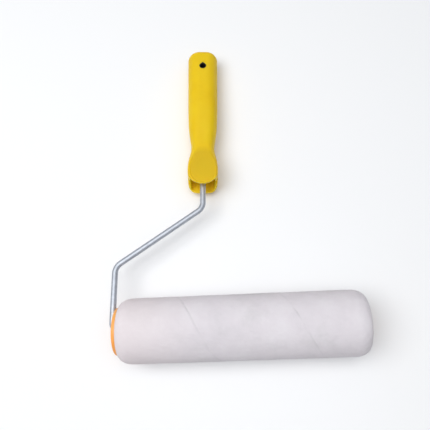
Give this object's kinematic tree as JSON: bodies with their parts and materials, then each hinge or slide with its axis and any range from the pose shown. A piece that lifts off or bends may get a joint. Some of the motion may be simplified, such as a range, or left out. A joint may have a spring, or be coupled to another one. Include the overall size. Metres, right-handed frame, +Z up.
{
  "type": "paint roller",
  "caption": "Cage-frame paint roller: bent rod frame, moulded grip with hang hole, spinning wire cage and slide-off pile cover.",
  "frame": {"origin": "on the floor, under the middle of the roller's box, as it lies on the cover and the end of the grip", "axes": "+X along the axle from the rod's leg to the cover's free end, +Y from the cover towards the grip's end, +Z up, out of the grip's front"},
  "size_m": [0.2428, 0.3508, 0.062],
  "materials": {
    "yellow_plastic": "moulded, semi-gloss",
    "black_plastic": "moulded, matte",
    "orange_plastic": "moulded, satin",
    "plated_steel": "bright zinc plate, drawn",
    "spring_wire": "drawn spring wire",
    "nylon": "natural nylon",
    "core_plastic": "wound polypropylene tube, satin",
    "pile_fabric": "dense short woven pile, off-white, lint-free"
  },
  "bodies": {
    "frame": {"rod": "plated_steel", "handle_shell": "yellow_plastic", "handle_core": "black_plastic", "stop_collar": "plated_steel", "inner_washer": "plated_steel", "outer_washer": "plated_steel", "push_nut": "plated_steel"},
    "cage": {"inner_cap": "orange_plastic", "outer_cap": "orange_plastic", "inner_bush": "nylon", "outer_bush": "nylon", "inner_retainer": "orange_plastic", "outer_retainer": "orange_plastic", "hub_plug": "orange_plastic", "cage_wire_1": "spring_wire", "cage_wire_2": "spring_wire", "cage_wire_3": "spring_wire", "cage_wire_4": "spring_wire", "cage_wire_5": "spring_wire", "wire_spacer": "orange_plastic"},
    "cover": {"core_tube": "core_plastic", "pile_sleeve": "pile_fabric"}
  },
  "joints": [
    {"name": "cage_spin", "type": "hinge", "parent": "frame", "child": "cage", "pos_m": [0.0064, -0.1444, 0.031], "axis": [1, 0, 0], "continuous": true},
    {"name": "cover_slide", "type": "slide", "parent": "cage", "child": "cover", "axis": [1, 0, 0], "range_m": [0, 0.24]}
  ]
}
